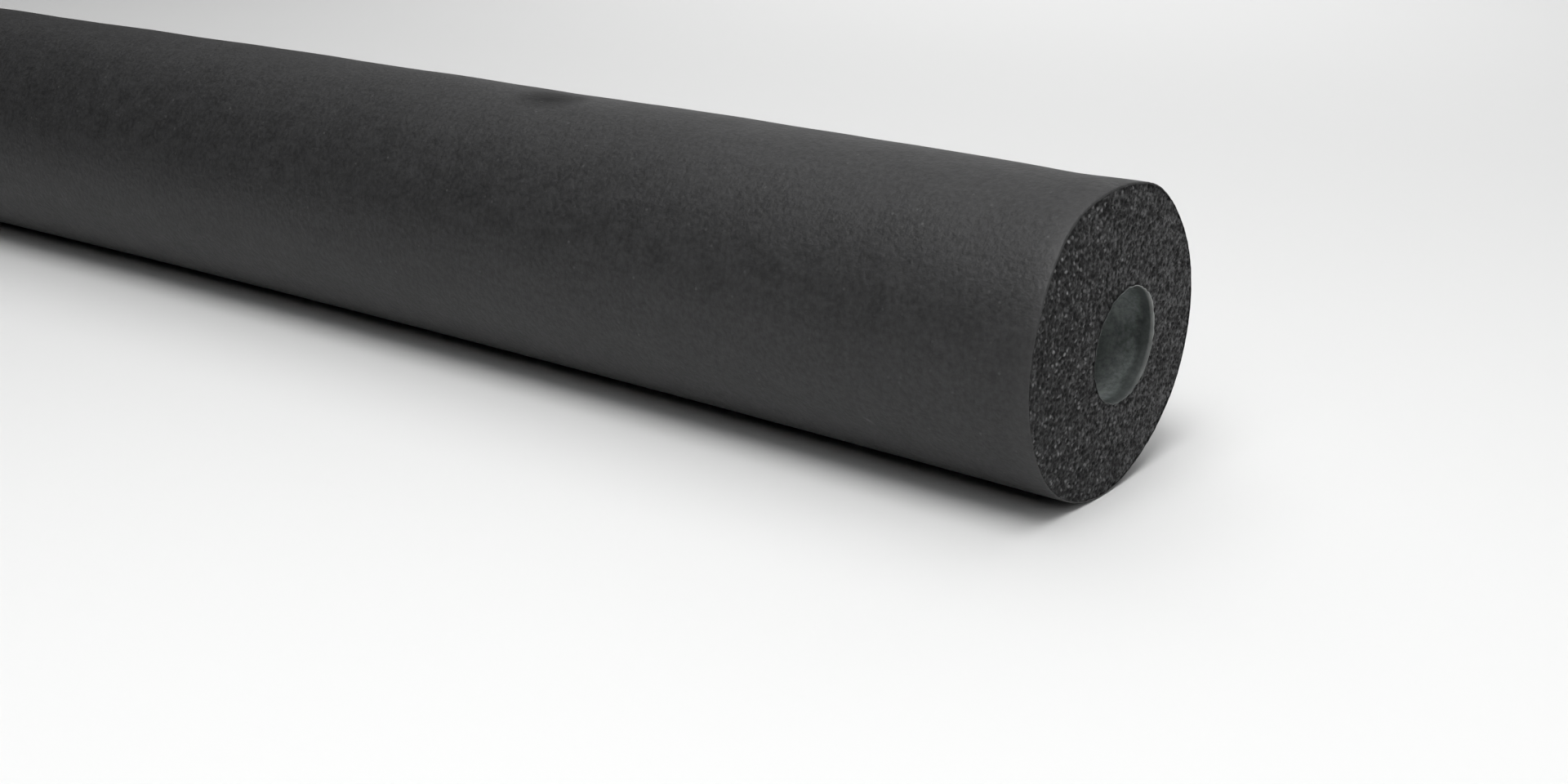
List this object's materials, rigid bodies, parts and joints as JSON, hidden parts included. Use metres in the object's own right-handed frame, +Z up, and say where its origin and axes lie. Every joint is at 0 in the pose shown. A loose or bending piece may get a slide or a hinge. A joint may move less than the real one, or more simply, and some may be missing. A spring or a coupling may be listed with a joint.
{
  "type": "pipe insulation tube",
  "caption": "Length of thick-walled black foam rubber pipe lagging with square cut ends and an off-centre bore, lying on its side with a slight even bow.",
  "frame": {"origin": "centre of the bounding box, on the floor that the tube lies on", "axes": "+X along the tube, out of the shown cut end; +Z up, with the tube on its side; both ends of its level bow swing towards -Y"},
  "size_m": [1.0044, 0.0956, 0.08],
  "materials": {
    "foam_rubber": "satin moulded skin with a fine mottle on the outside and in the bore, matt open cells on the cut ends"
  },
  "bodies": {
    "root": {"lagging_tube": "foam_rubber"}
  },
  "joints": []
}
